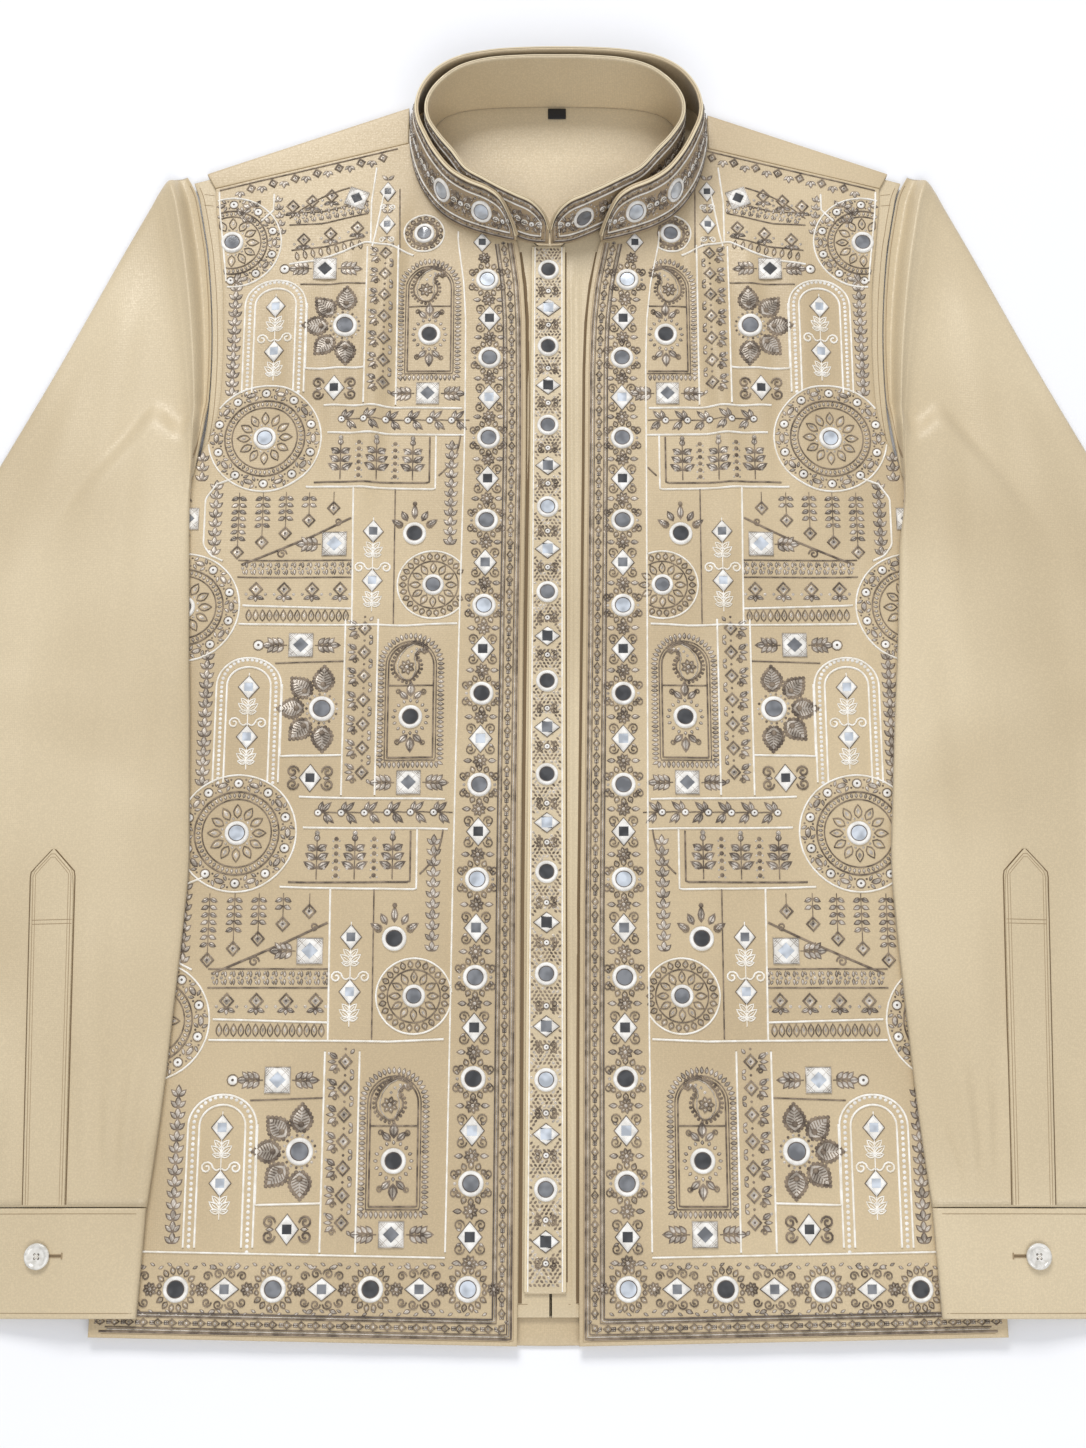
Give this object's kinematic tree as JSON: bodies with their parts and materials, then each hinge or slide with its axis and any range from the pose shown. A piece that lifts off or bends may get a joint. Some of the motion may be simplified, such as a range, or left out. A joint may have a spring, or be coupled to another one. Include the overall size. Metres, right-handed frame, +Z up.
{
  "type": "kurta set",
  "caption": "Long-sleeved kurta with a band collar under an open sleeveless mirror-work jacket with a standing collar, laid flat.",
  "frame": {"origin": "middle of the garment's box on the surface it lies on", "axes": "+X to the viewer's right, +Y from the hem to the collar, +Z up from the surface"},
  "size_m": [0.84, 0.8358, 0.044],
  "materials": {
    "jacket_cloth": "plain gold-beige silk blend with a soft sheen",
    "kurta_cloth": "plain gold-beige silk blend with a soft sheen",
    "label_cloth": "black satin",
    "pearl_button": "pearl grey, polished",
    "thread": "taupe embroidery thread with a sheen",
    "cord": "cream couched cord",
    "silver": "dull silver wire and sequins",
    "mirror_glass": "small flat mirrors"
  },
  "bodies": {
    "root": {"jacket_back": "jacket_cloth", "jacket_yoke_left": "jacket_cloth", "jacket_yoke_right": "jacket_cloth", "jacket_front_left": "jacket_cloth", "jacket_front_right": "jacket_cloth", "jacket_collar": "jacket_cloth", "kurta_back": "kurta_cloth", "kurta_front_left": "kurta_cloth", "kurta_front_right": "kurta_cloth", "kurta_placket": "kurta_cloth", "kurta_collar": "kurta_cloth", "sleeve_left": "kurta_cloth", "sleeve_right": "kurta_cloth", "sleeve_placket_left": "kurta_cloth", "sleeve_placket_right": "kurta_cloth", "cuff_left": "kurta_cloth", "cuff_right": "kurta_cloth", "neck_label": "label_cloth", "cuff_button_left": "pearl_button", "cuff_button_right": "pearl_button"}
  },
  "joints": []
}
